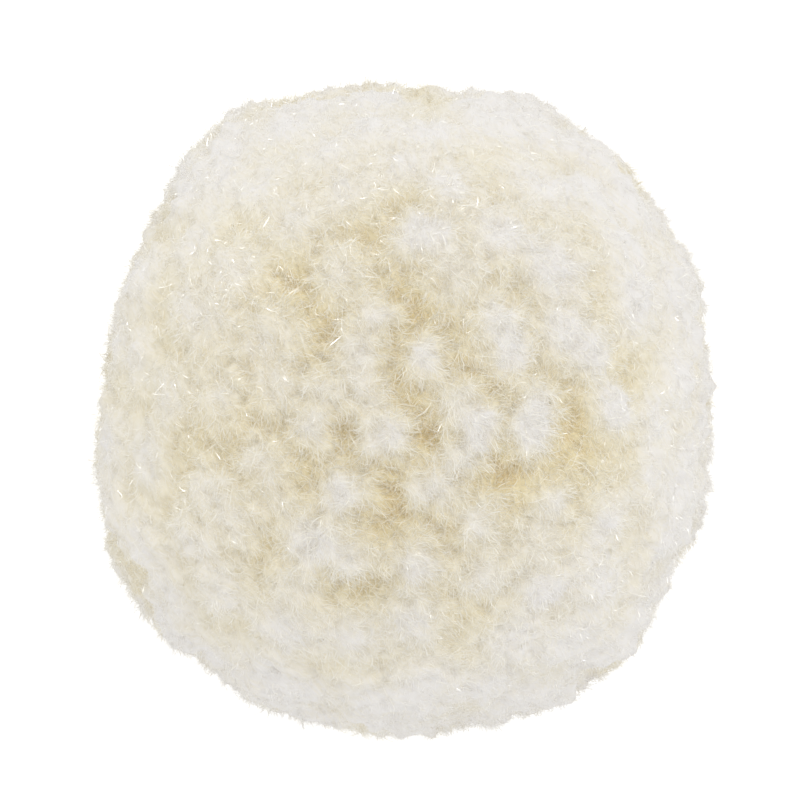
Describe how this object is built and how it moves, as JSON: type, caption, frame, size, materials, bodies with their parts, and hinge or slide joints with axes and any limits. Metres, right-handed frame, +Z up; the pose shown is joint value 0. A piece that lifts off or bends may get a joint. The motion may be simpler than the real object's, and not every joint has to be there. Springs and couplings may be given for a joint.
{
  "type": "yarn pom pom",
  "caption": "Round pom pom of cut cream wool yarn: tufts that spread from a tightly bound middle, trimmed to a ball a little deeper than wide, resting on a small flat spot.",
  "frame": {"origin": "middle of the bounding box in X and Y, on the surface that the pom pom rests on", "axes": "+Z up from the resting spot; X is the narrower and Y the deeper way across"},
  "size_m": [0.0602, 0.063, 0.0579],
  "materials": {
    "undyed_wool": "matt undyed wool yarn with bloomed cut ends and a haze of fine loose fibres"
  },
  "bodies": {
    "root": {"yarn_pom_pom": "undyed_wool"}
  },
  "joints": []
}
